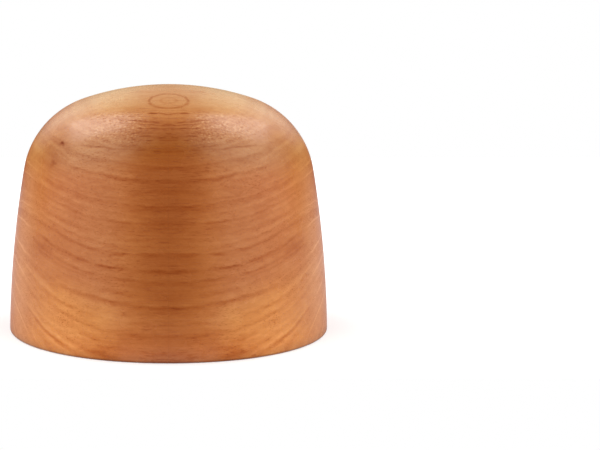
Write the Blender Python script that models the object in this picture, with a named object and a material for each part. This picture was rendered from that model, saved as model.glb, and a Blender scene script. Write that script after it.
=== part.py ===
# Hat block: a wooden form for an open-crown hat, glued up from four matched quarters of one timber.
# Metres, +Z up. X is the long way of the head and Y the short way. Z = 0 is the flat base that the
# block stands on, and the origin is the middle of the base.
import math
from collections import namedtuple

import bmesh
import bpy

# Outer form. The base is the oval of a head, and each upright view of the block is three arcs in a
# row: a long wall arc, a shoulder arc, and a flat crown arc that is centred on the block's axis.
BASE_LENGTH = 0.2010            # along X
BASE_WIDTH = 0.1676             # along Y
BLOCK_HEIGHT = 0.1527
SIDE_DRAFT = 1.7                # degrees that the wall leans in at the base, in the long side's view
SIDE_WALL_RADIUS = 0.676
SIDE_SHOULDER_RADIUS = 0.0550
SIDE_CROWN_RADIUS = 0.1660
END_DRAFT = 0.5                 # the same four in the narrow end's view
END_WALL_RADIUS = 1.280
END_SHOULDER_RADIUS = 0.0404
END_CROWN_RADIUS = 0.1560
OVAL_FULLNESS = 2.05            # exponent of the oval at the base; it eases to a true ellipse on top
BASE_EDGE_RADIUS = 0.0010       # eased edge round the base

# Joints. The quarters meet in the two upright planes of symmetry, on dowels.
GLUE_LINE = 0.0003              # gap between two quarters
DOWEL_DIAMETER = 0.0100
DOWEL_LENGTH = 0.0500
DOWEL_CHAMFER = 0.0010
DOWEL_FLUTES = 14
FLUTE_DEPTH = 0.0005            # flutes along a dowel let the glue out of its hole
DOWEL_CLEARANCE = 0.0003        # round a dowel in its hole
DOWEL_END_ROOM = 0.0003         # past each end of a dowel
LOW_DOWEL_HEIGHT = 0.0340       # above the base
HIGH_DOWEL_HEIGHT = 0.0980
FRONT_BACK_OFFSET = 0.0480      # from the axis to the dowels of the front and back joints
LEFT_RIGHT_OFFSET = 0.0580      # from the axis to the dowels of the left and right joints

# Socket for the spindle of a stand, bored up the middle of the base
SPINDLE_DIAMETER = 0.0250
SPINDLE_CLEARANCE = 0.0005      # round the spindle
SOCKET_DEPTH = 0.0600
SOCKET_CHAMFER = 0.0015

# How finely the curves are faceted
OVAL_STEPS = 20                 # faces round one quarter of the oval
EDGE_STEPS = 3
WALL_STEPS = 8
SHOULDER_STEPS = 14
CROWN_STEPS = 8
DOWEL_HOLE_SIDES = 28
SOCKET_SIDES = 48
CUT_PAST = 0.0050               # how far a cutter runs past the face that it opens

BLOCK_COLOUR = (0.48, 0.20, 0.09)
BLOCK_ROUGHNESS = 0.35
DOWEL_COLOUR = (0.62, 0.42, 0.24)
DOWEL_ROUGHNESS = 0.6

# Each quarter lies to the side of the axis that its signs give, along X and along Y.
QUARTERS = {
    "front_left_quarter": (-1, -1),
    "front_right_quarter": (1, -1),
    "back_left_quarter": (-1, 1),
    "back_right_quarter": (1, 1),
}

# An arc in an upright view: its centre's distance from the axis and height, and its radius
Arc = namedtuple("Arc", "x z radius")


def fillet(first, second, radius):
    """The arc of this radius that rolls inside two wider arcs and touches both."""
    reach_first = first.radius - radius
    reach_second = second.radius - radius
    gap_x = second.x - first.x
    gap_z = second.z - first.z
    gap = math.hypot(gap_x, gap_z)
    along = (reach_first ** 2 - reach_second ** 2 + gap ** 2) / (2.0 * gap)
    across = math.sqrt(reach_first ** 2 - along ** 2)
    x = first.x + (along * gap_x - across * gap_z) / gap
    z = first.z + (along * gap_z + across * gap_x) / gap
    return Arc(x, z, radius)


def touch_height(arc, inner):
    """Height at which a wide arc meets the arc that rolls inside it."""
    away = math.hypot(inner.x - arc.x, inner.z - arc.z)
    return arc.z + arc.radius * (inner.z - arc.z) / away


def upright_view(base, draft, wall_radius, shoulder_radius, crown_radius):
    """The outline of one view from the base up: the height where each arc ends, and the arc."""
    lean = math.radians(draft)
    wall = Arc(base / 2.0 - wall_radius * math.cos(lean), -wall_radius * math.sin(lean), wall_radius)
    crown = Arc(0.0, BLOCK_HEIGHT - crown_radius, crown_radius)
    shoulder = fillet(wall, crown, shoulder_radius)
    wall_top = touch_height(wall, shoulder)
    shoulder_top = touch_height(crown, shoulder)
    return [(wall_top, wall), (shoulder_top, shoulder), (BLOCK_HEIGHT, crown)]


SIDE_VIEW = upright_view(
    BASE_LENGTH, SIDE_DRAFT, SIDE_WALL_RADIUS, SIDE_SHOULDER_RADIUS, SIDE_CROWN_RADIUS
)
END_VIEW = upright_view(
    BASE_WIDTH, END_DRAFT, END_WALL_RADIUS, END_SHOULDER_RADIUS, END_CROWN_RADIUS
)


def half_width(view, height):
    """Half the width of a view of the block at a height."""
    arc = view[-1][1]
    for top, lower_arc in view:
        if height <= top:
            arc = lower_arc
            break
    return arc.x + math.sqrt(max(arc.radius ** 2 - (height - arc.z) ** 2, 0.0))


def heights_along(arc, low, high, steps):
    """Heights that divide an arc into even steps from low to high, without low itself."""
    start = math.asin((low - arc.z) / arc.radius)
    stop = math.asin(min((high - arc.z) / arc.radius, 1.0))
    turns = [start + (stop - start) * step / steps for step in range(1, steps + 1)]
    return [arc.z + arc.radius * math.sin(turn) for turn in turns]


def block_sections():
    """The oval sections from the base up, each as height, half length, half width and exponent."""
    rows = []
    for step in range(EDGE_STEPS):
        turn = math.radians(90.0) * step / EDGE_STEPS
        height = BASE_EDGE_RADIUS * (1.0 - math.cos(turn))
        rows.append((height, BASE_EDGE_RADIUS * (1.0 - math.sin(turn))))
    (wall_top, wall), (shoulder_top, shoulder), (crown_top, crown) = SIDE_VIEW
    heights = [BASE_EDGE_RADIUS]
    heights += heights_along(wall, BASE_EDGE_RADIUS, wall_top, WALL_STEPS)
    heights += heights_along(shoulder, wall_top, shoulder_top, SHOULDER_STEPS)
    heights += heights_along(crown, shoulder_top, crown_top, CROWN_STEPS)[:-1]
    rows += [(height, 0.0) for height in heights]
    sections = []
    for height, inset in rows:
        eased = (height / BLOCK_HEIGHT) ** 3
        power = OVAL_FULLNESS + (2.0 - OVAL_FULLNESS) * eased
        half_length = half_width(SIDE_VIEW, height) - inset
        sections.append((height, half_length, half_width(END_VIEW, height) - inset, power))
    return sections


def quarter_of_oval(half_length, half_breadth, power, seam):
    """Points of an oval section from one seam face round to the other."""
    first = math.asin((seam / half_breadth) ** (power / 2.0))
    last = math.acos((seam / half_length) ** (power / 2.0))
    points = []
    for step in range(OVAL_STEPS + 1):
        turn = first + (last - first) * step / OVAL_STEPS
        x = half_length * math.cos(turn) ** (2.0 / power)
        y = half_breadth * math.sin(turn) ** (2.0 / power)
        points.append((x, y))
    return points


def closed_mesh(name, shape):
    """Turn a bmesh into a mesh whose faces point out."""
    bmesh.ops.recalc_face_normals(shape, faces=shape.faces[:])
    mesh = bpy.data.meshes.new(name)
    shape.to_mesh(mesh)
    shape.free()
    return mesh


def quarter_mesh(name, side_x, side_y):
    """A quarter of the block: the lofted skin, the flat base and two upright seam faces."""
    seam = GLUE_LINE / 2.0
    shape = bmesh.new()
    rings = []
    for height, half_length, half_breadth, power in block_sections():
        points = quarter_of_oval(half_length, half_breadth, power, seam)
        rings.append([shape.verts.new((side_x * x, side_y * y, height)) for x, y in points])
    base_corner = shape.verts.new((side_x * seam, side_y * seam, 0.0))
    crown_corner = shape.verts.new((side_x * seam, side_y * seam, BLOCK_HEIGHT))
    for lower, upper in zip(rings, rings[1:]):
        for step in range(OVAL_STEPS):
            shape.faces.new((lower[step], lower[step + 1], upper[step + 1], upper[step]))
    for step in range(OVAL_STEPS):
        shape.faces.new((rings[-1][step], rings[-1][step + 1], crown_corner))
    shape.faces.new([base_corner] + rings[0])
    shape.faces.new([base_corner] + [ring[0] for ring in rings] + [crown_corner])
    shape.faces.new([base_corner] + [ring[-1] for ring in rings] + [crown_corner])
    return closed_mesh(name, shape)


def turned_mesh(name, outline, sides, flute_depth=0.0):
    """A solid turned round Z, from the radius and height of each corner of its outline in order.

    With a flute depth, every second side edge lies that much deeper, which makes V flutes.
    """
    shape = bmesh.new()
    rings = []
    for radius, height in outline:
        ring = []
        for step in range(sides):
            turn = 2.0 * math.pi * step / sides
            reach = radius - flute_depth * (step % 2)
            ring.append(shape.verts.new((reach * math.cos(turn), reach * math.sin(turn), height)))
        rings.append(ring)
    for lower, upper in zip(rings, rings[1:]):
        for step in range(sides):
            after = (step + 1) % sides
            shape.faces.new((lower[step], lower[after], upper[after], upper[step]))
    shape.faces.new(rings[0])
    shape.faces.new(rings[-1])
    return closed_mesh(name, shape)


def dowel_outline():
    radius = DOWEL_DIAMETER / 2.0
    half = DOWEL_LENGTH / 2.0
    return [
        (radius - DOWEL_CHAMFER, -half),
        (radius, -half + DOWEL_CHAMFER),
        (radius, half - DOWEL_CHAMFER),
        (radius - DOWEL_CHAMFER, half),
    ]


def dowel_hole_outline():
    radius = DOWEL_DIAMETER / 2.0 + DOWEL_CLEARANCE
    half = DOWEL_LENGTH / 2.0 + DOWEL_END_ROOM
    return [(radius, -half), (radius, half)]


def socket_outline():
    radius = SPINDLE_DIAMETER / 2.0 + SPINDLE_CLEARANCE
    return [
        (radius + SOCKET_CHAMFER + CUT_PAST, -CUT_PAST),
        (radius, SOCKET_CHAMFER),
        (radius, SOCKET_DEPTH),
    ]


def dowel_places():
    """Name, place and turn of each dowel. It runs square to the seam that it crosses."""
    along_x = (0.0, math.radians(90.0), 0.0)
    along_y = (math.radians(90.0), 0.0, 0.0)
    places = []
    for level, height in (("low", LOW_DOWEL_HEIGHT), ("high", HIGH_DOWEL_HEIGHT)):
        places.append(("front_dowel_" + level, (0.0, -FRONT_BACK_OFFSET, height), along_x))
        places.append(("back_dowel_" + level, (0.0, FRONT_BACK_OFFSET, height), along_x))
        places.append(("left_dowel_" + level, (-LEFT_RIGHT_OFFSET, 0.0, height), along_y))
        places.append(("right_dowel_" + level, (LEFT_RIGHT_OFFSET, 0.0, height), along_y))
    return places


def add_object(name, mesh, location=(0.0, 0.0, 0.0), turn=(0.0, 0.0, 0.0)):
    shape = bpy.data.objects.new(name, mesh)
    shape.location = location
    shape.rotation_euler = turn
    bpy.context.scene.collection.objects.link(shape)
    return shape


def finish(shape, colour, roughness):
    """Give a piece its own wood, and smooth shading over its round faces."""
    material = bpy.data.materials.new(shape.name)
    material.use_nodes = True
    shader = material.node_tree.nodes["Principled BSDF"]
    shader.inputs["Base Color"].default_value = (*colour, 1.0)
    shader.inputs["Roughness"].default_value = roughness
    shader.inputs["Metallic"].default_value = 0.0
    shape.data.materials.append(material)
    shape.data.shade_smooth()
    shape.data.set_sharp_from_angle(angle=math.radians(30.0))


def add_cutter(name, outline, sides, location=(0.0, 0.0, 0.0), turn=(0.0, 0.0, 0.0)):
    shape = add_object(name, turned_mesh(name, outline, sides), location, turn)
    shape.hide_render = True
    shape.display_type = "WIRE"
    return shape


def cut(shape, cutter):
    boolean = shape.modifiers.new(cutter.name, "BOOLEAN")
    boolean.operation = "DIFFERENCE"
    boolean.solver = "EXACT"
    boolean.object = cutter


def clear_scene():
    for shape in list(bpy.data.objects):
        bpy.data.objects.remove(shape)


def build():
    clear_scene()
    socket = add_cutter("socket_cutter", socket_outline(), SOCKET_SIDES)
    holes = []
    for name, location, turn in dowel_places():
        mesh = turned_mesh(name, dowel_outline(), 2 * DOWEL_FLUTES, FLUTE_DEPTH)
        dowel = add_object(name, mesh, location, turn)
        finish(dowel, DOWEL_COLOUR, DOWEL_ROUGHNESS)
        holes.append(add_cutter(name + "_hole", dowel_hole_outline(), DOWEL_HOLE_SIDES, location, turn))
    for name, (side_x, side_y) in QUARTERS.items():
        quarter = add_object(name, quarter_mesh(name, side_x, side_y))
        finish(quarter, BLOCK_COLOUR, BLOCK_ROUGHNESS)
        cut(quarter, socket)
        for hole in holes:
            if hole.location.x * side_x >= 0.0 and hole.location.y * side_y >= 0.0:
                cut(quarter, hole)


build()
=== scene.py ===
import math

import bpy
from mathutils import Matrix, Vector


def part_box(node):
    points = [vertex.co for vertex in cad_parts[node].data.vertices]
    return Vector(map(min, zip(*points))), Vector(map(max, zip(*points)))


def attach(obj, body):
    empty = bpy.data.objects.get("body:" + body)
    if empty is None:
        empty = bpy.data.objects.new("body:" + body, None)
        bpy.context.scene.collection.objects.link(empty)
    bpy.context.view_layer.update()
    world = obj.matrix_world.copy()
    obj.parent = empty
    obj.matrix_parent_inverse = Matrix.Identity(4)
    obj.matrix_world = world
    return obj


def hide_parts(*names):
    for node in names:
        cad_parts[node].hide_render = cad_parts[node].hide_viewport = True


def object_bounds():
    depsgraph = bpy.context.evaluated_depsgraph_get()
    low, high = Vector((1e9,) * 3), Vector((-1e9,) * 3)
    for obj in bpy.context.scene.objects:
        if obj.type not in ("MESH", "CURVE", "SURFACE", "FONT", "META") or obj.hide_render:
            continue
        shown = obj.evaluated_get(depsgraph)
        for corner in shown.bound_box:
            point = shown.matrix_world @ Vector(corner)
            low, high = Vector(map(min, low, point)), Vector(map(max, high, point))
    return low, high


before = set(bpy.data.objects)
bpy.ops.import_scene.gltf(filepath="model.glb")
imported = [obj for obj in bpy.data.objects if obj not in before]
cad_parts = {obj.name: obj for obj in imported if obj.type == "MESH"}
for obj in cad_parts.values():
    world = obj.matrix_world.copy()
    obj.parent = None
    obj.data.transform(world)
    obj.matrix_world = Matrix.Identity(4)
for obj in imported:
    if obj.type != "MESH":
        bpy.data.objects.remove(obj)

cadLow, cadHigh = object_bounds()
print("Frame loaded with", len(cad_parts), "nodes")


# Node trees. Sums and products of Number objects become Math nodes, so a formula reads as on paper.
class Number:
    def __init__(self, tree, socket):
        self.tree = tree
        self.socket = socket

    def math(self, operation, *others):
        node = self.tree.nodes.new("ShaderNodeMath")
        node.operation = operation
        for place, value in enumerate((self, *others)):
            feed(node.inputs[place], value)
        return Number(self.tree, node.outputs[0])

    def __add__(self, other):
        return self.math("ADD", other)

    def __sub__(self, other):
        return self.math("SUBTRACT", other)

    def __rsub__(self, other):
        return (self * -1.0).math("ADD", other)

    def __mul__(self, other):
        return self.math("MULTIPLY", other)

    def __truediv__(self, other):
        return self.math("DIVIDE", other)

    def __rtruediv__(self, other):
        return (self ** -1.0).math("MULTIPLY", other)

    def __pow__(self, other):
        return self.math("POWER", other)

    __radd__ = __add__

    def root(self):
        return self.math("MAXIMUM", 0.0).math("SQRT")

    def least(self, other):
        return self.math("MINIMUM", other)

    def most(self, other):
        return self.math("MAXIMUM", other)

    def sine(self):
        return self.math("SINE")

    def cosine(self):
        return self.math("COSINE")

    def size(self):
        return self.math("ABSOLUTE")

    def below(self, other):
        return self.math("LESS_THAN", other)

    def bell(self, width):      # 1 at zero, falling to nothing a few widths away
        scaled = self / width
        return (scaled * scaled * -1.0).math("EXPONENT")

    def step(self, start, stop):    # eases from 0 at start to 1 at stop
        node = self.tree.nodes.new("ShaderNodeMapRange")
        node.interpolation_type = "SMOOTHSTEP"
        for name, value in (("Value", self), ("From Min", start), ("From Max", stop)):
            feed(node.inputs[name], value)
        return Number(self.tree, node.outputs["Result"])


def feed(socket, value):
    # Gives a socket a fixed value, or links it to a number or to another socket
    if isinstance(value, Number):
        value = value.socket
    if isinstance(value, bpy.types.NodeSocket):
        socket.id_data.links.new(value, socket)
    else:
        socket.default_value = value


def addNode(tree, kind, inputs=None, **settings):
    node = tree.nodes.new(kind)
    for name, value in settings.items():
        setattr(node, name, value)
    for name, value in (inputs or {}).items():
        feed(node.inputs[name], value)
    return node


def joinVector(tree, x, y, z):
    return addNode(tree, "ShaderNodeCombineXYZ", {"X": x, "Y": y, "Z": z}).outputs[0]


def splitVector(tree, socket):
    node = addNode(tree, "ShaderNodeSeparateXYZ", {0: socket})
    return [Number(tree, output) for output in node.outputs]


def noise(place, reach, detail=2.0, rough=0.5):
    # Cloudy, 0 to 1, with features that reach so far each way
    tree = place[0].tree
    scaled = [part / span for part, span in zip(place, reach)]
    node = addNode(tree, "ShaderNodeTexNoise", {
        "Vector": joinVector(tree, *scaled), "Scale": 1.0, "Detail": detail, "Roughness": rough,
    })
    return Number(tree, node.outputs[0])


def mixColours(tree, share, one, other):
    node = addNode(tree, "ShaderNodeMix", data_type="RGBA")
    for place, value in ((0, share), (6, one), (7, other)):
        feed(node.inputs[place], value)
    return node.outputs[2]


def geometryTree(name, sizes, materials):
    # A Geometry Nodes tree with one named input for each size and each material
    tree = bpy.data.node_groups.new(name, "GeometryNodeTree")
    tree.is_modifier = True
    for label, value in sizes.items():
        kind = "NodeSocketInt" if isinstance(value, int) else "NodeSocketFloat"
        tree.interface.new_socket(label, in_out="INPUT", socket_type=kind)
    for label in materials:
        tree.interface.new_socket(label, in_out="INPUT", socket_type="NodeSocketMaterial")
    tree.interface.new_socket("Geometry", in_out="OUTPUT", socket_type="NodeSocketGeometry")
    given = {socket.name: socket for socket in tree.nodes.new("NodeGroupInput").outputs if socket.name}
    return tree, {label: Number(tree, given[label]) if label in sizes else given[label] for label in given}


def meshFromTree(name, tree, values):
    # Runs the tree on an empty mesh and keeps what it makes as a plain mesh
    host = bpy.data.objects.new(name, bpy.data.meshes.new(name + "Start"))
    bpy.context.scene.collection.objects.link(host)
    modifier = host.modifiers.new(name, "NODES")
    modifier.node_group = tree
    for socket in tree.interface.items_tree:
        if socket.in_out == "INPUT":
            modifier[socket.identifier] = values[socket.name]
    bpy.context.view_layer.update()
    evaluated = host.evaluated_get(bpy.context.evaluated_depsgraph_get())
    mesh = bpy.data.meshes.new_from_object(evaluated)
    host.modifiers.clear()
    host.data = mesh
    mesh.name = name
    if mesh.materials[0] is None:
        mesh.materials.pop(index=0)
    return host


# The four quarters. Each upright view of the block is a long wall arc, a shoulder arc and a flat
# crown arc centred on the axis, and every level section is an oval between the two views.
blockSizes = {
    "Length": cadHigh.x - cadLow.x,
    "Width": cadHigh.y - cadLow.y,
    "Height": cadHigh.z - cadLow.z,
    "Side lean": math.radians(1.7),       # of the wall at the base, seen from the long side
    "Side wall radius": 0.676,
    "Side shoulder radius": 0.0550,
    "Side crown radius": 0.1660,
    "End lean": math.radians(0.5),        # the same four, seen from the narrow end
    "End wall radius": 1.280,
    "End shoulder radius": 0.0404,
    "End crown radius": 0.1560,
    "Oval fullness": 2.05,                # exponent of the oval at the base, 2 at the top
    "Base edge": 0.0010,                  # eased edge round the base
    "Glue line": 0.0,                     # between two quarters, which the clamps drew tight
    "Faces round": 48,
    "Faces up": 110,
    "Faces in": 8,
    "Edge faces": 5,                      # of the faces up, those in the base edge
    "Side X": 1.0,
    "Side Y": 1.0,
}

skinShare = 0.999                         # of the way out, so that the outermost faces alone are skin
weldDistance = 0.00001                    # where the faces of a quarter run together at the axis
sharpAngle = math.radians(30.0)           # where smooth shading stops

# How a pin that stands on end is turned to lie along X or along Y
lieAlongX = (0.0, math.pi / 2.0, 0.0)
lieAlongY = (math.pi / 2.0, 0.0, 0.0)

dowelNodes = sorted(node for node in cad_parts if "dowel" in node)


def middleOf(node):
    low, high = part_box(node)
    return (Vector(low) + Vector(high)) / 2.0


jointSizes = {
    "Socket radius": 0.0130,
    "Socket depth": 0.0600,
    "Socket chamfer": 0.0015,
    "Hole radius": 0.0053,
    "Hole length": 0.0506,
    "Socket sides": 96,
    "Hole sides": 56,
    "Low hole": middleOf("front_dowel_low").z,
    "High hole": middleOf("front_dowel_high").z,
    "Front hole": -middleOf("front_dowel_low").y,     # from the axis
    "Side hole": middleOf("right_dowel_low").x,
}


def halfWidth(height, drop, base, lean, wallRadius, shoulderRadius, crownRadius, top):
    # Half the width of one view at a height: the shoulder arc rolls inside the other two
    wallX = base / 2.0 - wallRadius * lean.cosine()
    wallZ = wallRadius * lean.sine() * -1.0
    crownZ = top - crownRadius
    reachWall = wallRadius - shoulderRadius
    reachCrown = crownRadius - shoulderRadius
    gapX = wallX * -1.0
    gapZ = crownZ - wallZ
    gap = (gapX * gapX + gapZ * gapZ).root()
    along = (reachWall * reachWall - reachCrown * reachCrown + gap * gap) / (gap * 2.0)
    across = (reachWall * reachWall - along * along).root()
    shoulderX = wallX + (along * gapX - across * gapZ) / gap
    shoulderZ = wallZ + (along * gapZ + across * gapX) / gap
    wallTop = wallZ + wallRadius * (shoulderZ - wallZ) / reachWall
    shoulderTop = crownZ + crownRadius * (shoulderZ - crownZ) / reachCrown
    wall = wallX + (wallRadius * wallRadius - (height - wallZ) ** 2.0).root()
    shoulder = shoulderX + (shoulderRadius * shoulderRadius - (height - shoulderZ) ** 2.0).root()
    crown = (drop * (crownRadius * 2.0 - drop)).root()
    upper = pick(height.below(shoulderTop), shoulder, crown)
    return pick(height.below(wallTop), wall, upper)


def pick(condition, yes, no):
    node = addNode(condition.tree, "GeometryNodeSwitch", input_type="FLOAT")
    feed(node.inputs["Switch"], condition)
    feed(node.inputs["True"], yes)
    feed(node.inputs["False"], no)
    return Number(condition.tree, node.outputs[0])


def quarterTree():
    tree, given = geometryTree("Hat block quarter", {**blockSizes, **jointSizes}, ["Skin", "Bare"])
    cube = addNode(tree, "GeometryNodeMeshCube", {
        "Vertices X": given["Faces in"] + 1.0,
        "Vertices Y": given["Faces round"] + 1.0,
        "Vertices Z": given["Faces up"] + 1.0,
    })
    position = addNode(tree, "GeometryNodeInputPosition").outputs[0]
    inward, around, upward = [part + 0.5 for part in splitVector(tree, position)]
    marked = addNode(tree, "GeometryNodeStoreNamedAttribute", {
        "Geometry": cube.outputs["Mesh"], "Name": "skin", "Value": inward.math("GREATER_THAN", skinShare),
    }, data_type="BOOLEAN", domain="FACE")
    # Height first: the rows close up towards the base edge and the crown
    edge = given["Base edge"]
    edgeShare = given["Edge faces"] / given["Faces up"]
    edgeTurn = (upward / edgeShare).least(1.0) * (math.pi / 2.0)
    climb = (upward - edgeShare).most(0.0) / (1.0 - edgeShare)
    rest = 1.0 - climb
    drop = ((given["Height"] - edge) * rest * rest + edge * edgeTurn.cosine()).most(0.0)
    height = given["Height"] - drop
    inset = edge * (1.0 - edgeTurn.sine())
    halfLength = halfWidth(
        height, drop, given["Length"], given["Side lean"], given["Side wall radius"],
        given["Side shoulder radius"], given["Side crown radius"], given["Height"],
    )
    halfBreadth = halfWidth(
        height, drop, given["Width"], given["End lean"], given["End wall radius"],
        given["End shoulder radius"], given["End crown radius"], given["Height"],
    )
    rise = height / given["Height"]
    power = given["Oval fullness"] + (2.0 - given["Oval fullness"]) * rise * rise * rise
    seam = given["Glue line"] / 2.0
    turn = around * (math.pi / 2.0)
    spreadX = (halfLength - inset - seam).most(0.0) * turn.cosine().most(0.0) ** (2.0 / power)
    spreadY = (halfBreadth - inset - seam).most(0.0) * turn.sine().most(0.0) ** (2.0 / power)
    x = (seam + spreadX * inward) * given["Side X"]
    y = (seam + spreadY * inward) * given["Side Y"]
    bent = addNode(tree, "GeometryNodeSetPosition", {
        "Geometry": marked.outputs[0], "Position": joinVector(tree, x, y, height),
    })
    merged = addNode(tree, "GeometryNodeMergeByDistance", {
        "Geometry": bent.outputs[0], "Distance": weldDistance,
    })
    mirrored = (given["Side X"] * given["Side Y"]).below(0.0)
    turned = addNode(tree, "GeometryNodeFlipFaces", {"Mesh": merged.outputs[0], "Selection": mirrored})
    cut = addNode(tree, "GeometryNodeMeshBoolean", operation="DIFFERENCE", solver="EXACT")
    feed(cut.inputs["Mesh 1"], turned.outputs[0])
    for cutter in [*socketCutters(tree, given), *holeCutters(tree, given)]:
        tree.links.new(cutter, cut.inputs["Mesh 2"])
    return finishTree(tree, cut.outputs["Mesh"], given)


def socketCutters(tree, given):
    # A bore for a stand's spindle, and a cone that chamfers its mouth
    past = 0.005                          # how far each reaches out of the base
    sides = given["Socket sides"]
    bore = addNode(tree, "GeometryNodeMeshCylinder", {
        "Vertices": sides, "Radius": given["Socket radius"], "Depth": given["Socket depth"] + past,
    })
    boreUp = (given["Socket depth"] - past) / 2.0
    mouth = given["Socket radius"] + given["Socket chamfer"]
    cone = addNode(tree, "GeometryNodeMeshCone", {
        "Vertices": sides, "Radius Top": mouth - past, "Radius Bottom": mouth + past, "Depth": 2.0 * past,
    })
    moved = addNode(tree, "GeometryNodeTransform", {
        "Geometry": bore.outputs["Mesh"], "Translation": joinVector(tree, 0.0, 0.0, boreUp),
    })
    return [moved.outputs[0], cone.outputs["Mesh"]]


def holeCutters(tree, given):
    # Two dowel holes across each joint of the quarter, one above the other
    pin = addNode(tree, "GeometryNodeMeshCylinder", {
        "Vertices": given["Hole sides"], "Radius": given["Hole radius"], "Depth": given["Hole length"],
    })
    front = given["Side Y"] * given["Front hole"]
    side = given["Side X"] * given["Side hole"]
    found = []
    for x, y, tilt in ((0.0, front, lieAlongX), (side, 0.0, lieAlongY)):
        pins = pinPair(tree, pin.outputs["Mesh"], tilt, x, y, given["Low hole"], given["High hole"])
        found.append(addNode(tree, "GeometryNodeRealizeInstances", {0: pins}).outputs[0])
    return found


def pinPair(tree, pin, tilt, x, y, low, high):
    # Two copies of a pin, one above the other
    line = addNode(tree, "GeometryNodeMeshLine", {
        "Count": 2, "Start Location": joinVector(tree, x, y, low),
        "Offset": joinVector(tree, 0.0, 0.0, high - low),
    })
    pins = addNode(tree, "GeometryNodeInstanceOnPoints", {
        "Points": line.outputs[0], "Instance": pin, "Rotation": tilt,
    })
    return pins.outputs[0]


def finishTree(tree, geometry, given):
    realized = addNode(tree, "GeometryNodeRealizeInstances", {0: geometry})
    bare = addNode(tree, "GeometryNodeSetMaterial", {
        "Geometry": realized.outputs[0], "Material": given["Bare"],
    })
    skin = addNode(tree, "GeometryNodeInputNamedAttribute", {"Name": "skin"}, data_type="BOOLEAN")
    dressed = addNode(tree, "GeometryNodeSetMaterial", {
        "Geometry": bare.outputs[0], "Material": given["Skin"], "Selection": skin.outputs["Attribute"],
    })
    feed(addNode(tree, "NodeGroupOutput").inputs[0], dressed.outputs[0])
    return tree


# The wood. Its figure is worked out in millimetres from the axis and the base. x and y are folded
# into one quarter, because the four quarters were sawn in turn from one board and opened like a book.
# A pair of numbers is where something begins and where it is complete.
woodFigure = {
    "heartDepth": 58.2,        # the rings' heart lies this far below the base in the middle,
    "heartBow": 48.8,          # and this much nearer at 100 mm towards either end
    "swell": 10.9,             # the rings swell near the axis,
    "swellWide": 23.9,         # over this width
    "swellUp": 85.0,           # about this height,
    "swellTall": 18.0,         # over this much of it
    "wander": 1.6,             # how far a ring strays
    "lineDarkness": 0.22,
    "lineAlong": (38.0, 68.0),      # along the block, from the strength in the middle to the outer one
    "lineBreaks": (0.36, 0.62),
    "leastLine": 0.25,         # what is left of a line in its breaks,
    "fullLine": 1.2,           # its strength between them,
    "leastOuterLine": 0.7,     # and the least that it has out at the sides
    "endLinePaleness": 0.34,
    "endLineWidth": 0.75,      # of the ring's own width
    "endGrain": (0.74, 0.94),       # how squarely a face looks along X where it starts to show end grain
    "poreDarkness": 0.23,
    "poreSize": (0.70, 0.80),
    "poreCrowding": 0.22,
    "poreDepth": 0.8,          # beside the fibres' own relief
}

# How strongly a darker tone takes away each colour: what is dark turns redder
tonePower = {"red": 0.68, "green": 1.28, "blue": 1.8}

# Growth rings: distance above the heart's own level, how dark the ring is along the grain in the
# middle and out at the sides, how pale across the grain, and its width
growthRings = (
    (20.5, 0.0, 0.0, 1.0, 0.5),
    (32.0, 0.0, 0.0, 1.0, 0.5),
    (41.2, 0.3, 1.0, 1.0, 0.8),
    (47.6, 0.0, 0.0, 0.3, 1.2),
    (52.9, 0.5, 0.4, 0.9, 1.0),
    (57.7, 0.4, 0.6, 0.2, 0.7),
    (65.0, 0.8, 0.3, 0.9, 0.8),
    (75.3, 0.9, 0.3, 0.2, 0.8),
    (80.2, 1.1, 0.5, 1.0, 0.9),
    (84.0, 0.1, 0.0, -0.4, 4.0),
    (87.3, 1.2, 0.4, 0.3, 0.9),
    (91.0, 0.3, 0.2, 0.8, 0.6),
    (101.9, 1.0, 0.3, 0.2, 0.8),
    (105.7, 0.3, 0.3, 0.8, 0.6),
    (110.5, 0.7, 0.5, 0.8, 0.7),
    (122.6, 0.9, 0.4, 0.2, 0.9),
    (129.5, 0.6, 0.0, 0.2, 0.7),
    (137.2, 0.5, 0.3, 0.2, 0.8),
)

# Beside each dark line runs a paler one: how many line widths away, its width and its strength
paleEdge = {"away": 1.7, "width": 0.9, "strength": 0.35}

# A ring cut level with the surface shows as a small target on the slope of the crown
targetFigure = {
    "y": 41.0,
    "z": 147.0,
    "inner": 4.7,              # radius of the small ring,
    "outer": 11.5,             # and of the large one
    "innerStrength": 0.4,      # beside the large one
    "width": 0.9,
    "waver": 2.2,
    "gaps": (0.32, 0.60),
    "leastRing": 0.3,          # what is left of a ring in its gaps
    "darkness": 0.42,
}

# Marks on the front left quarter, where they lie, their half size and their darkness
woodMarks = {
    "upperKnot": ((-62.2, -48.6, 122.6), (1.8, 3.4, 1.4), 0.60),
    "lowerKnot": ((-66.9, -50.4, 111.6), (1.8, 4.0, 1.8), 0.35),
    "knotShade": ((-66.0, -48.0, 118.0), (7.0, 14.0, 11.0), 0.14),
}

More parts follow.
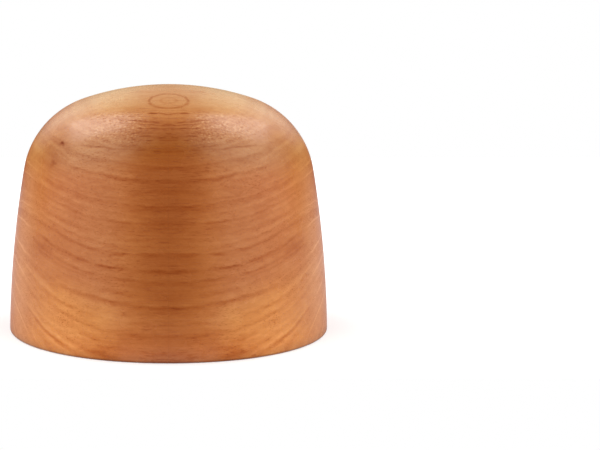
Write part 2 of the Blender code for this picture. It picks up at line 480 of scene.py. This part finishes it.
# Wider tones that all four quarters share; a glow is a pale one. Most are stains in the wood; those marked
# below are painted shade, painted sheen and a painted reflection.
woodStains = {
    "smoke": ((73.0, 54.0, 61.0), (9.0, 20.0, 6.5), 0.17),
    # The next two are painted shade low on each long side, next to the floor.
    "baseShade": ((37.0, 76.0, 5.0), (10.5, 14.0, 8.0), 0.38),
    "baseMiddleShade": ((0.0, 83.0, 4.0), (27.0, 14.0, 8.0), 0.14),
    "glowOverBase": ((30.0, 79.0, 25.0), (13.0, 14.0, 6.0), -0.16),
    "middleGlow": ((0.0, 83.0, 26.0), (17.0, 14.0, 6.0), -0.10),
    "cornerGlow": ((80.0, 50.0, 10.0), (15.0, 16.0, 13.0), -0.15),
    # The next two are painted sheen on the shoulder.
    "shoulderEndSheen": ((82.0, 26.0, 118.0), (12.0, 18.0, 8.0), -0.22),
    "sheenUnderShoulder": ((43.0, 70.0, 116.0), (10.0, 14.0, 9.0), -0.07),
    "lowGlow": ((0.0, 82.0, 45.0), (34.0, 14.0, 6.0), -0.08),
    "waistGlow": ((24.0, 79.0, 66.0), (18.0, 14.0, 7.0), -0.10),
    "browShade": ((0.0, 60.0, 131.0), (14.0, 20.0, 3.5), 0.13),
    "lowBrowShade": ((0.0, 72.0, 126.5), (13.0, 14.0, 4.0), 0.05),
    # Painted shade down the middle of either end, up to the crown.
    "ridgeShade": ((92.0, 0.0, 122.0), (24.0, 15.0, 24.0), 0.30),
    # Painted reflection of the white surroundings on the top of the crown.
    "crownReflection": ((0.0, 0.0, 153.2), (60.0, 30.0, 2.2), -0.14),
    "browGlow": ((0.0, 60.0, 139.7), (21.0, 20.0, 2.3), -0.19),
}

markFray = 4.0                 # how far the edge of a mark or a stain strays

# Dark lines that keep level round the shoulder: height, half length, half width and darkness
levelLines = {
    "shoulderLine": (121.6, 66.0, 0.6, 0.26),
    "firstDash": (127.3, 22.0, 0.5, 0.24),
    "secondDash": (129.3, 20.0, 0.4, 0.30),
    "thirdDash": (131.2, 24.0, 0.5, 0.40),
    "fourthDash": (133.3, 22.0, 0.4, 0.36),
    "fifthDash": (135.2, 20.0, 0.35, 0.34),
    "browLine": (136.7, 26.0, 0.4, 0.42),
    "crownLine": (140.9, 13.0, 0.35, 0.55),
}

levelFigure = {
    "lift": 0.03,              # for each millimetre out from the middle
    "waver": 1.6,
    "ends": (1.15, 0.70),      # of the half length, where a line begins and where it is full
    "gaps": (0.36, 0.56),
}

# Layers of cloudy tone: how far a feature reaches along the block, into it and up it, its detail, its
# roughness and its strength. The bands' third reach is measured out from the heart.
woodClouds = {
    "fibres": ((12.0, 1.6, 1.1), 2.0, 0.5, 0.33),
    "bands": ((60.0, 60.0, 2.4), 2.0, 0.5, 0.37),
    "patches": ((17.0, 17.0, 10.0), 3.0, 0.6, 0.28),
    "streaks": ((30.0, 4.0, 2.2), 2.0, 0.5, 0.28),
    "specks": ((1.4, 0.6, 0.6), 1.0, 0.5, 0.20),
}

cloudFigure = {
    "strongBands": (30.0, 60.0),    # along the block
    "bandGain": 0.7,
    "calmSides": (25.0, 60.0),      # for the fibres and the specks
    "calm": 0.35,              # how much weaker these are there
    "endBands": 0.6,           # how much weaker the bands are across the grain,
    "endFibres": 0.5,          # and the fibres
    "endSpecks": 0.5,          # and how much stronger the specks are there
}

# Specks and dashes of short grain where the shoulder turns over, and more specks near the base. The pale
# specks are painted glints in the shoulder's highlight; the dark ones and the dashes are grain.
fleckFigure = {
    "up": (122.0, 129.0),      # where they begin,
    "upEnd": (143.0, 139.0),   # and where they end again
    "along": (8.0, 20.0),
    "alongEnd": (58.0, 38.0),
    # Pale specks: painted glints
    "pale": (0.52, 0.70),
    "glintStrength": 0.31,
    "dark": (0.47, 0.30),
    "darkStrength": 0.27,
    "dashUp": (121.0, 127.0),
    "dashUpEnd": (146.0, 141.0),
    "dashAlongEnd": (36.0, 22.0),
    "dash": (0.54, 0.68),
    "dashStrength": 0.20,
    "lowAlong": 61.0,          # the middle of those near the base
    "lowLength": 7.0,
    "lowUp": 22.0,
    "lowTall": 6.0,
    "lowStrength": 0.45,
}

# How far a feature of each other noise reaches along X, Y and Z; the third of the line breaks is
# measured out from the heart
noiseReach = {
    "relief": (9.0, 0.8, 0.8),
    "ringStray": (34.0, 30.0, 24.0),
    "ringShake": (8.0, 8.0, 5.0),
    "lineBreaks": (15.0, 20.0, 4.0),
    "targetWaver": (3.5, 3.5, 3.5),
    "targetGaps": (4.0, 4.0, 2.0),
    "levelWaver": (8.0, 30.0, 7.0),
    "levelGaps": (7.0, 30.0, 1.6),
    "flecks": (1.5, 0.9, 0.7),
    "dashes": (6.0, 1.0, 0.6),
    "pores": (9.0, 0.75, 0.5),
    "poreCrowds": (40.0, 25.0, 9.0),
    "marks": (4.0, 4.0, 3.0),
    "zones": (24.0, 24.0, 18.0),
    "handling": (20.0, 20.0, 16.0),
}

woodColours = {
    # The heart, darker down the middle of each long side, and the lighter body beyond it are partly the
    # wood's own colour and partly painted: shade down the middle, sheen towards the ends.
    "heart": (0.46, 0.120, 0.024, 1.0),       # in the middle of each long side,
    "lowHeart": (0.53, 0.158, 0.042, 1.0),    # and near the base there
    "body": (0.61, 0.187, 0.043, 1.0),
    "end": (0.505, 0.150, 0.018, 1.0),
    # At either end the middle is darker, partly in the wood's own colour and partly as painted shade down
    # the middle of the end.
    "acrossGrain": (0.55, 0.220, 0.083, 1.0),  # at either end of the block,
    "endHeart": (0.31, 0.070, 0.020, 1.0),    # and in the middle there
    # Colour of the pale specks, painted glints in the shoulder's highlight
    "fleck": (0.80, 0.46, 0.20, 1.0),
    "gold": (0.76, 0.272, 0.054, 1.0),        # the young wood low on the sides
    "shoulder": (0.345, 0.098, 0.010, 1.0),
    "shoulderEnd": (0.445, 0.158, 0.032, 1.0),
    "crown": (0.49, 0.236, 0.092, 1.0),
    "crownEnd": (0.585, 0.362, 0.163, 1.0),
    "glueAndBaseShade": (0.12, 0.03, 0.008, 1.0),       # glue in the seams, and painted shade along the base edge
}

# Where each colour begins and where it is full: along the block, into it, up it or out from the heart
woodZones = {
    "stray": 16.0,             # how far a border strays along the block,
    "ringFray": 0.4,           # and as shares of that from ring to ring,
    "endHeartFray": 0.4,       # at the heart of either end,
    "shoulderFray": 0.3,       # at the shoulder
    "crownFray": 0.2,          # and at the crown
    "lowHeartRing": (68.0, 52.0),
    "bodyAlong": (0.0, 30.0),
    "goldRing": (72.0, 54.0),
    "goldAlong": (24.0, 44.0),
    "endAlong": (52.0, 96.0),
    "acrossShare": 0.8,
    "endHeartInto": (40.0, 2.0),
    "endHeartShare": 0.9,
    "upperAlong": (6.0, 40.0),      # for the two colours of the shoulder and of the crown
    "shoulderUp": (109.0, 131.0),
    "shoulderTilt": 0.15,
    "crownUp": (135.0, 153.0),
    "droop": 10.0,             # how much lower the crown's colour comes down at its four corners,
    "droopAlong": 72.0,        # this far along the block,
    "droopBend": 4.0,          # power by which it grows with the distance
    "droopInto": (10.0, 28.0),
    "mostDroop": 12.0,
}

# Dark edges: where each begins and is full, from the base or the seam, and its share of the dark colour.
# Along the seams it is the glue line, along the foot and the base edge painted shade.
glueLinesAndBaseShade = {
    "footShade": ((7.0, 0.0), 0.24),
    "baseEdgeShade": ((1.8, 0.6), 0.36),
    "seam": ((0.12, 0.02), 0.2),
}


def inMillimetres(tree, socket):
    return [part * 1000.0 for part in splitVector(tree, socket)]


def woodFigureGroup():
    group = bpy.data.node_groups.new("hatBlockTimber", "ShaderNodeTree")
    group.interface.new_socket("Colour", in_out="OUTPUT", socket_type="NodeSocketColor")
    for label in ("Pores", "Relief", "Across", "Shade"):
        group.interface.new_socket(label, in_out="OUTPUT", socket_type="NodeSocketFloat")
    coordinates = addNode(group, "ShaderNodeTexCoord").outputs
    place = inMillimetres(group, coordinates["Object"])
    side, depth, up = [part.size() for part in place]
    across = splitVector(group, coordinates["Normal"])[0].size().step(*woodFigure["endGrain"])
    ring = ringDistance(side, depth, up)
    pores = poreDashes(place)
    front = place[1].below(0.0)
    paleFleckGlints, darkFlecks = flecks(side, depth, up)
    tone = growthTone(side, depth, up, ring, across) - targetTone(side, depth, up) * front
    tone = tone + clouds(side, depth, up, ring, across) + marks(place)
    tone = tone - darkFlecks - levelTone(side, depth, up) - pores * woodFigure["poreDarkness"]
    colour = zoneColour(group, side, depth, up, ring, across)
    # Pale specks of painted glint on the shoulder
    colour = mixColours(group, paleFleckGlints, colour, woodColours["fleck"])
    shade = 1.0 + tone
    parts = addNode(group, "ShaderNodeSeparateColor", {0: colour}).outputs
    toned = [Number(group, part) * shade ** power for part, power in zip(parts, tonePower.values())]
    mixed = addNode(group, "ShaderNodeCombineColor", dict(enumerate(toned)))
    relief = noise(place, noiseReach["relief"]) - pores * woodFigure["poreDepth"]
    out = addNode(group, "NodeGroupOutput").inputs
    made = {"Colour": mixed.outputs[0], "Pores": pores, "Relief": relief, "Across": across, "Shade": shade}
    for label, value in made.items():
        feed(out[label], value)
    return group


def ringDistance(side, depth, up):
    # Rings are round the heart, which runs below the base and bows up towards the ends
    figure = woodFigure
    heart = side * side * (figure["heartBow"] / 100.0 ** 2) - figure["heartDepth"]
    over = up - heart
    swell = depth.bell(figure["swellWide"]) * (up - figure["swellUp"]).bell(figure["swellTall"])
    stray = (noise((side, depth, up), noiseReach["ringStray"]) - 0.5) * (2.0 * figure["wander"])
    shake = (noise((side, depth, up), noiseReach["ringShake"]) - 0.5) * figure["wander"]
    return heart + (depth * depth + over * over).root() + swell * figure["swell"] + stray + shake


def growthTone(side, depth, up, ring, across):
    # Dark lines along the grain, thin pale ones across it, both broken up along their length
    figure = woodFigure
    along = 1.0 - across
    breaks = noise((side, depth, ring), noiseReach["lineBreaks"], detail=3.0, rough=0.6)
    breaks = breaks.step(*figure["lineBreaks"])
    breaks = breaks * (figure["fullLine"] - figure["leastLine"]) + figure["leastLine"]
    outward = side.step(*figure["lineAlong"])
    breaks = breaks.most(outward * figure["leastOuterLine"])
    dark = 0.0
    pale = 0.0
    for distance, middle, outer, paleness, width in growthRings:
        off = ring - distance
        if middle:
            beside = (off - width * paleEdge["away"]).bell(width * paleEdge["width"])
            edged = off.bell(width) - beside * paleEdge["strength"]
            dark = edged * (outward * (outer - middle) + middle) + dark
        pale = off.bell(width * figure["endLineWidth"]) * paleness + pale
    lines = dark * breaks * along * figure["lineDarkness"]
    return pale * across * figure["endLinePaleness"] - lines


def targetTone(side, depth, up):
    target = targetFigure
    near = side * side + (depth - target["y"]) ** 2.0 + (up - target["z"]) ** 2.0
    place = (side, depth, up)
    reach = near.root() + (noise(place, noiseReach["targetWaver"]) - 0.5) * target["waver"]
    inner = (reach - target["inner"]).bell(target["width"]) * target["innerStrength"]
    outer = (reach - target["outer"]).bell(target["width"])
    gaps = noise(place, noiseReach["targetGaps"]).step(*target["gaps"])
    gaps = gaps * (1.0 - target["leastRing"]) + target["leastRing"]
    return (inner + outer) * gaps * target["darkness"]


def levelTone(side, depth, up):
    figure = levelFigure
    begin, full = figure["ends"]
    waver = (noise((side, depth, up), noiseReach["levelWaver"], detail=1.0) - 0.5) * figure["waver"]
    level = up - side * figure["lift"] + waver
    gaps = noise((side, depth, up), noiseReach["levelGaps"]).step(*figure["gaps"])
    tone = 0.0
    for height, halfLength, width, darkness in levelLines.values():
        line = (level - height).bell(width) * side.step(halfLength * begin, halfLength * full)
        tone = line * darkness + tone
    return tone * gaps


def flecks(side, depth, up):
    figure = fleckFigure
    grain = noise((side, depth, up), noiseReach["flecks"])
    where = up.step(*figure["up"]) * up.step(*figure["upEnd"])
    where = where * side.step(*figure["alongEnd"]) * side.step(*figure["along"])
    dashes = noise((side, depth, up), noiseReach["dashes"]).step(*figure["dash"])
    middle = up.step(*figure["dashUp"]) * up.step(*figure["dashUpEnd"]) * side.step(*figure["dashAlongEnd"])
    low = (side - figure["lowAlong"]).bell(figure["lowLength"])
    low = low * (up - figure["lowUp"]).bell(figure["lowTall"])
    # Pale specks: painted glints in the shoulder's highlight
    pale = grain.step(*figure["pale"]) * where * figure["glintStrength"]
    dark = grain.step(*figure["dark"]) * (where * figure["darkStrength"] + low * figure["lowStrength"])
    return pale, dark + dashes * middle * figure["dashStrength"]


def poreDashes(place):
    # Short dark pores that run along X, some crowded together
    dashes = noise(place, noiseReach["pores"], detail=1.0)
    crowd = noise(place, noiseReach["poreCrowds"], detail=1.0)
    return (dashes + crowd * woodFigure["poreCrowding"]).step(*woodFigure["poreSize"])


def cloud(name, place):
    reach, detail, rough, strength = woodClouds[name]
    return (noise(place, reach, detail, rough) - 0.5) * strength


def clouds(side, depth, up, ring, across):
    # Fine fibres, faint bands between the rings, and soft light and dark patches
    figure = cloudFigure
    place = (side, depth, up)
    calm = 1.0 - side.step(*figure["calmSides"]) * figure["calm"]
    strong = side.step(*figure["strongBands"]) * figure["bandGain"] + 1.0
    fibres = cloud("fibres", place) * calm * (1.0 - across * figure["endFibres"])
    bands = cloud("bands", (side, depth, ring)) * strong * (1.0 - across * figure["endBands"])
    specks = cloud("specks", place) * calm * (across * figure["endSpecks"] + 1.0)
    return fibres + bands + specks + cloud("patches", place) + cloud("streaks", place)


def spot(place, centre, halfSize):
    parts = [((part - at) / half) ** 2.0 for part, at, half in zip(place, centre, halfSize)]
    return ((parts[0] + parts[1] + parts[2]) * -1.0).math("EXPONENT")


def marks(place):
    tone = 0.0
    fray = (noise(place, noiseReach["marks"]) - 0.5) * markFray
    frayed = [part + fray for part in place]
    for centre, halfSize, darkness in woodMarks.values():
        tone = spot(frayed, centre, halfSize) * -darkness + tone
    folded = [frayed[0].size(), frayed[1].size(), frayed[2]]
    # The wider tones, with the painted shade, sheen and reflection among them
    for centre, halfSize, darkness in woodStains.values():
        tone = spot(folded, centre, halfSize) * -darkness + tone
    return tone


def zoneColour(tree, side, depth, up, ring, across):
    zones = woodZones
    colours = woodColours
    stray = (noise((side, depth, up), noiseReach["zones"]) - 0.5) * zones["stray"]
    along = side + stray
    frayed = ring + stray * zones["ringFray"]
    # Darker down the middle of each long side, lighter towards the ends: partly the wood's colour, partly
    # painted shade and painted sheen.
    body = mixColours(tree, frayed.step(*zones["lowHeartRing"]), colours["heart"], colours["lowHeart"])
    body = mixColours(tree, along.step(*zones["bodyAlong"]), body, colours["body"])
    gold = frayed.step(*zones["goldRing"]) * along.step(*zones["goldAlong"])
    body = mixColours(tree, gold, body, colours["gold"])
    body = mixColours(tree, along.step(*zones["endAlong"]), body, colours["end"])
    body = mixColours(tree, across * zones["acrossShare"], body, colours["acrossGrain"])
    # Darker in the middle of either end: partly the heart's own colour, partly painted shade.
    endHeart = across * (depth + stray * zones["endHeartFray"]).step(*zones["endHeartInto"])
    body = mixColours(tree, endHeart * zones["endHeartShare"], body, colours["endHeart"])
    outward = along.step(*zones["upperAlong"])
    shoulder = mixColours(tree, outward, colours["shoulder"], colours["shoulderEnd"])
    crown = mixColours(tree, outward, colours["crown"], colours["crownEnd"])
    tilted = up + side * zones["shoulderTilt"] + stray * zones["shoulderFray"]
    body = mixColours(tree, tilted.step(*zones["shoulderUp"]), body, shoulder)
    droop = (side / zones["droopAlong"]) ** zones["droopBend"] * zones["droop"]
    droop = droop.least(zones["mostDroop"]) * depth.step(*zones["droopInto"])
    drooped = up + droop + stray * zones["crownFray"]
    body = mixColours(tree, drooped.step(*zones["crownUp"]), body, crown)
    # The glue line in the seams, and painted shade along the foot and the base edge
    edge = 0.0
    for name, distance in (("footShade", up), ("baseEdgeShade", up), ("seam", side), ("seam", depth)):
        reach, share = glueLinesAndBaseShade[name]
        edge = distance.step(*reach) * share + edge
    return mixColours(tree, edge.least(1.0), body, colours["glueAndBaseShade"])


oiledFinish = {
    "shine": 0.44,
    "endShine": 0.10,          # across the grain the wood drinks the oil in
    "endRoughness": 0.10,      # added there
    "thirst": 1.5,             # how much less the dark grain shines
    "roughness": 0.27,
    "poreRoughness": 0.15,
    "clouding": 0.14,          # how much the roughness varies
    "relief": 0.000012,
}

bareFinish = {
    "colour": (0.56, 0.36, 0.21, 1.0),
    "share": 0.55,             # of that colour over the timber's own
    "dark": (0.20, 0.09, 0.04, 1.0),          # in the pores and along the glue
    "poreShare": 0.3,
    "glueShare": 0.7,
    "glueWidth": (0.30, 0.12),
    "roughness": 0.72,
    "poreRoughness": 0.15,
    "relief": 0.00003,
}


def materialTree(name):
    material = bpy.data.materials.new(name)
    material.use_nodes = True
    return material, material.node_tree, material.node_tree.nodes["Principled BSDF"].inputs


def reliefNormal(tree, height, depth):
    bump = addNode(tree, "ShaderNodeBump", {"Strength": 1.0, "Distance": depth, "Height": height})
    return bump.outputs[0]


def oiledWood(timber):
    finish = oiledFinish
    material, tree, shader = materialTree("oiledWood")
    figure = addNode(tree, "ShaderNodeGroup", node_tree=timber).outputs
    pores, across, shade = [Number(tree, figure[name]) for name in ("Pores", "Across", "Shade")]
    place = inMillimetres(tree, addNode(tree, "ShaderNodeTexCoord").outputs["Object"])
    handling = noise(place, noiseReach["handling"], detail=3.0) - 0.5
    feed(shader["Base Color"], figure["Colour"])
    shine = across * (finish["endShine"] - finish["shine"]) + finish["shine"]
    feed(shader["Specular IOR Level"], finish["shine"])      # for a program that drops the link
    feed(shader["Specular IOR Level"], shine * shade ** finish["thirst"])
    rough = handling * finish["clouding"] + finish["roughness"] + pores * finish["poreRoughness"]
    feed(shader["Roughness"], rough + across * finish["endRoughness"])
    feed(shader["Normal"], reliefNormal(tree, figure["Relief"], finish["relief"]))
    return material


def bareWood(timber):
    # Where no oil went: the base, the glued faces and the bores
    finish = bareFinish
    material, tree, shader = materialTree("bareWood")
    figure = addNode(tree, "ShaderNodeGroup", node_tree=timber).outputs
    colour = mixColours(tree, finish["share"], figure["Colour"], finish["colour"])
    pores = Number(tree, figure["Pores"])
    place = inMillimetres(tree, addNode(tree, "ShaderNodeTexCoord").outputs["Object"])
    side, depth = [part.size() for part in place[:2]]
    glue = side.step(*finish["glueWidth"]).most(depth.step(*finish["glueWidth"]))
    dark = (pores * finish["poreShare"]).most(glue * finish["glueShare"])
    feed(shader["Base Color"], mixColours(tree, dark, colour, finish["dark"]))
    feed(shader["Roughness"], finish["roughness"] + pores * finish["poreRoughness"])
    feed(shader["Normal"], reliefNormal(tree, figure["Relief"], finish["relief"]))
    return material


timber = woodFigureGroup()
oiled = oiledWood(timber)
bare = bareWood(timber)
print("Timber made")

# Which side of the axis each quarter lies on, along X and along Y
quarters = {
    "front_left_quarter": (-1.0, -1.0),
    "front_right_quarter": (1.0, -1.0),
    "back_left_quarter": (-1.0, 1.0),
    "back_right_quarter": (1.0, 1.0),
}


def buildQuarters():
    tree = quarterTree()
    for node, (sideX, sideY) in quarters.items():
        values = {**blockSizes, **jointSizes, "Side X": sideX, "Side Y": sideY, "Skin": oiled, "Bare": bare}
        piece = meshFromTree(node + "_wood", tree, values)
        piece.data.shade_smooth()
        piece.data.set_sharp_from_angle(angle=sharpAngle)
        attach(piece, "root")
        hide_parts(node)
        print(piece.name, len(piece.data.polygons), "faces")


buildQuarters()

# The dowels: fluted, chamfered pins of beech, two across each glued joint
dowelSizes = {
    "Radius": 0.0050,
    "Length": 0.0500,
    "Chamfer": 0.0010,
    "Flutes": 14,
    "Flute depth": 0.0005,
    "Flute sharpness": 1.4,               # 1 is a plain wave, more leaves narrower grooves
    "Flute faces": 10,
    "Low": jointSizes["Low hole"],
    "High": jointSizes["High hole"],
    "Front": jointSizes["Front hole"],
    "Side": jointSizes["Side hole"],
}


def dowelTree():
    tree, given = geometryTree("Hat block dowels", dowelSizes, ["Beech"])
    rows = 3                              # a chamfer, the length between and a chamfer
    blank = addNode(tree, "GeometryNodeMeshCylinder", {
        "Vertices": given["Flutes"] * given["Flute faces"], "Side Segments": rows, "Radius": 1.0,
        "Depth": float(rows),
    })
    x, y, z = splitVector(tree, addNode(tree, "GeometryNodeInputPosition").outputs[0])
    row = z + rows / 2.0
    turn = y.math("ARCTAN2", x)
    middle = given["Length"] - given["Chamfer"] * 2.0
    ends = row.least(1.0) + (row - 2.0).most(0.0)
    along = ends * given["Chamfer"] + (row - 1.0).least(1.0).most(0.0) * middle - given["Length"] / 2.0
    groove = (0.5 - (turn * given["Flutes"]).cosine() * 0.5) ** given["Flute sharpness"]
    inset = (1.0 - row).most(row - 2.0).most(0.0) * given["Chamfer"]
    reach = given["Radius"] - groove * given["Flute depth"] - inset
    shaped = addNode(tree, "GeometryNodeSetPosition", {
        "Geometry": blank.outputs["Mesh"], "Position": joinVector(tree, x * reach, y * reach, along),
    })
    grained = addNode(tree, "GeometryNodeStoreNamedAttribute", {
        "Geometry": shaped.outputs[0], "Name": "grain",
        "Value": addNode(tree, "GeometryNodeInputPosition").outputs[0],
    }, data_type="FLOAT_VECTOR", domain="POINT")
    joined = tree.nodes.new("GeometryNodeJoinGeometry")
    for sign in (-1.0, 1.0):
        places = ((0.0, given["Front"] * sign, lieAlongX), (given["Side"] * sign, 0.0, lieAlongY))
        for pinX, pinY, tilt in places:
            pins = pinPair(tree, grained.outputs[0], tilt, pinX, pinY, given["Low"], given["High"])
            feed(joined.inputs[0], pins)
    stick = addNode(tree, "FunctionNodeRandomValue", {"Seed": 4}, data_type="FLOAT")
    marked = addNode(tree, "GeometryNodeStoreNamedAttribute", {
        "Geometry": joined.outputs[0], "Name": "stick", "Value": stick.outputs[1],
    }, data_type="FLOAT", domain="INSTANCE")
    realized = addNode(tree, "GeometryNodeRealizeInstances", {0: marked.outputs[0]})
    dressed = addNode(tree, "GeometryNodeSetMaterial", {
        "Geometry": realized.outputs[0], "Material": given["Beech"],
    })
    feed(addNode(tree, "NodeGroupOutput").inputs[0], dressed.outputs[0])
    return tree


beechFinish = {
    "pale": (0.62, 0.42, 0.25, 1.0),
    "dark": (0.50, 0.31, 0.17, 1.0),
    "fleck": (0.30, 0.15, 0.07, 1.0),
    "stickApart": 90.0,                   # how far apart the dowels lay in the wood, in millimetres
    "streakReach": (1.1, 1.1, 30.0),      # the last is along the dowel
    "fibreReach": (0.3, 0.3, 6.0),
    "fleckReach": (0.35, 0.35, 1.6),
    "fibreShare": 0.3,                    # of the tone, beside the streaks
    "fleckSize": (0.66, 0.74),
    "fleckShare": 0.7,
    "roughness": 0.53,
    "fibreRoughness": 0.15,
    "relief": 0.00002,
}


def beechWood():
    # Straight grain along each dowel, with the short dark flecks of beech
    finish = beechFinish
    material, tree, shader = materialTree("beechWood")
    grain = addNode(tree, "ShaderNodeAttribute", attribute_name="grain").outputs["Vector"]
    stick = addNode(tree, "ShaderNodeAttribute", attribute_name="stick").outputs["Fac"]
    x, y, z = inMillimetres(tree, grain)
    place = (x + Number(tree, stick) * finish["stickApart"], y, z)
    streaks = noise(place, finish["streakReach"])
    fibres = noise(place, finish["fibreReach"])
    flecks = noise(place, finish["fleckReach"], detail=1.0).step(*finish["fleckSize"])
    tone = streaks * (1.0 - finish["fibreShare"]) + fibres * finish["fibreShare"]
    colour = mixColours(tree, tone, finish["pale"], finish["dark"])
    feed(shader["Base Color"], mixColours(tree, flecks * finish["fleckShare"], colour, finish["fleck"]))
    feed(shader["Roughness"], fibres * finish["fibreRoughness"] + finish["roughness"])
    feed(shader["Normal"], reliefNormal(tree, fibres, finish["relief"]))
    return material


def buildDowels():
    piece = meshFromTree("fluted_dowels", dowelTree(), {**dowelSizes, "Beech": beechWood()})
    piece.data.shade_smooth()
    piece.data.set_sharp_from_angle(angle=sharpAngle)
    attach(piece, "root")
    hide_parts(*dowelNodes)
    print(piece.name, len(piece.data.polygons), "faces")


buildDowels()

# The studio
cameraSetup = {
    "lens": 78.0,
    "distance": 0.816,
    "elevation": math.radians(10.7),
    "lookHeight": 0.070,
    "shiftX": 0.219,                      # the block stands left of the middle of the picture
    "shiftY": -0.0135,
}


def buildCamera():
    data = bpy.data.cameras.new("camera")
    data.lens = cameraSetup["lens"]
    data.shift_x = cameraSetup["shiftX"]
    data.shift_y = cameraSetup["shiftY"]
    camera = bpy.data.objects.new("camera", data)
    bpy.context.scene.collection.objects.link(camera)
    back = Vector((0.0, -math.cos(cameraSetup["elevation"]), math.sin(cameraSetup["elevation"])))
    camera.location = Vector((0.0, 0.0, cameraSetup["lookHeight"])) + back * cameraSetup["distance"]
    camera.rotation_euler = (-back).to_track_quat("-Z", "Y").to_euler()
    bpy.context.scene.camera = camera


buildCamera()

# A light tent, open at the front, with a lamp outside each side wall and a softbox high behind each
# shoulder of the block.
tent = {
    "front": 0.07,                        # glow of the opening, where the camera stands
    "walls": 1.0,                         # of the side walls
    "back": 0.06,
    "roof": 0.35,
    "openingEdge": math.radians(18.0),    # the glow climbs from here, measured round from the front,
    "wallEdge": math.radians(42.0),       # to here,
    "wallEnd": math.radians(55.0),        # and falls from here
    "backEdge": math.radians(124.0),      # to here
    "roofEdge": (0.75, 0.97),             # how far up the roof's glow begins and is full
}

# Where lamps outside shine through the cloth, the same on both sides
patches = {
    "wallPatch": {"round": math.radians(80.0), "up": math.radians(42.0), "glow": 1.4, "spread": 0.20},
    "backPatch": {"round": math.radians(143.0), "up": math.radians(28.0), "glow": 1.0, "spread": 0.045},
    "lowBackPatch": {"round": math.radians(161.0), "up": math.radians(20.0), "glow": 0.55, "spread": 0.045},
}

softboxes = {
    "round": math.radians(113.0),         # from the front, one to each side
    "up": math.radians(54.0),
    "distance": 1.5,
    "side": 0.90,
    "leftGlow": 3.65,
    "rightGlow": 3.4,
}

# The white sheet far behind the table, as wide as the picture, which gloss and glass see too
backdrop = {
    "left": -0.15,                        # its two sides, in metres across for each metre away
    "right": 0.35,
    "top": 0.02,
    "blur": 0.03,
}

table = {
    "front": 0.11,
    "back": 0.75,
    "side": 0.90,
    "colour": (0.74, 0.74, 0.74, 1.0),
    "roughness": 0.9,
    "lift": 0.25,                         # added for the camera, so that the lit table is white
}

white = (1.0, 1.0, 1.0, 1.0)


def seenRays(tree):
    # 1 for the rays that gloss and glass send on, and 1 for those from the camera itself
    path = addNode(tree, "ShaderNodeLightPath").outputs
    return Number(tree, path["Is Glossy Ray"]).most(path["Is Transmission Ray"]), path["Is Camera Ray"]


def buildTent():
    world = bpy.data.worlds.new("tent")
    world.use_nodes = True
    tree = world.node_tree
    direction = addNode(tree, "ShaderNodeTexCoord").outputs["Generated"]
    x, y, z = splitVector(tree, direction)
    level = (x * x + y * y).root().most(0.0001)           # never zero
    turn = (y * -1.0 / level).math("ARCCOSINE")
    opening = turn.step(tent["openingEdge"], tent["wallEdge"])
    behind = turn.step(tent["wallEnd"], tent["backEdge"])
    glow = opening * (tent["walls"] - tent["front"]) + tent["front"]
    glow = glow + behind * (tent["back"] - tent["walls"])
    glow = glow + z.step(*tent["roofEdge"]) * (tent["roof"] - glow)
    for patch in patches.values():
        centre = tentDirection(patch["round"], patch["up"])
        nearness = x.size() * centre.x + y * centre.y + z * centre.z
        glow = glow + (1.0 - nearness).bell(patch["spread"]) * patch["glow"]
    away = y.most(0.01)                                   # never zero
    place = x / away
    blur = backdrop["blur"]
    sheet = place.step(backdrop["left"], backdrop["left"] + blur)
    sheet = sheet * place.step(backdrop["right"], backdrop["right"] - blur)
    sheet = sheet * z.step(backdrop["top"], backdrop["top"] - blur) * (0.0 - y).below(0.0)
    mirrored, camera = seenRays(tree)
    seen = (mirrored * sheet).most(camera)
    background = tree.nodes["Background"].inputs
    feed(background["Strength"], glow + seen * (1.0 - glow))
    feed(background["Color"], white)
    bpy.context.scene.world = world


def tentDirection(turn, up):    # turn is measured round from the front, up from the level
    level = math.cos(up)
    return Vector((math.sin(turn) * level, -math.cos(turn) * level, math.sin(up)))


def buildSoftboxes():
    for name, side, glow in (("leftSoftbox", -1.0, "leftGlow"), ("rightSoftbox", 1.0, "rightGlow")):
        data = bpy.data.lights.new(name, "AREA")
        data.shape = "SQUARE"
        data.size = softboxes["side"]
        data.energy = softboxes[glow] * math.pi * softboxes["side"] ** 2      # glow times pi times area
        lamp = bpy.data.objects.new(name, data)
        bpy.context.scene.collection.objects.link(lamp)
        away = tentDirection(side * softboxes["round"], softboxes["up"])
        lamp.location = away * softboxes["distance"] + Vector((0.0, 0.0, cameraSetup["lookHeight"]))
        lamp.rotation_euler = (-away).to_track_quat("-Z", "Y").to_euler()
        lamp.visible_camera = False


def buildTable():
    mesh = bpy.data.meshes.new("table")
    side, near, far = table["side"], -table["front"], table["back"]
    corners = [(-side, near, 0.0), (side, near, 0.0), (side, far, 0.0), (-side, far, 0.0)]
    mesh.from_pydata(corners, [], [(0, 1, 2, 3)])
    top = bpy.data.objects.new("table", mesh)
    bpy.context.scene.collection.objects.link(top)
    material, tree, shader = materialTree("paleTable")
    mirrored, camera = seenRays(tree)
    feed(shader["Base Color"], table["colour"])
    feed(shader["Roughness"], table["roughness"])
    feed(shader["Specular IOR Level"], 0.0)
    feed(shader["Emission Color"], white)
    feed(shader["Emission Strength"], mirrored.most(camera) * table["lift"])
    mesh.materials.append(material)


buildTent()
buildSoftboxes()
buildTable()
bpy.context.scene.view_settings.view_transform = "Standard"
print("Studio set")
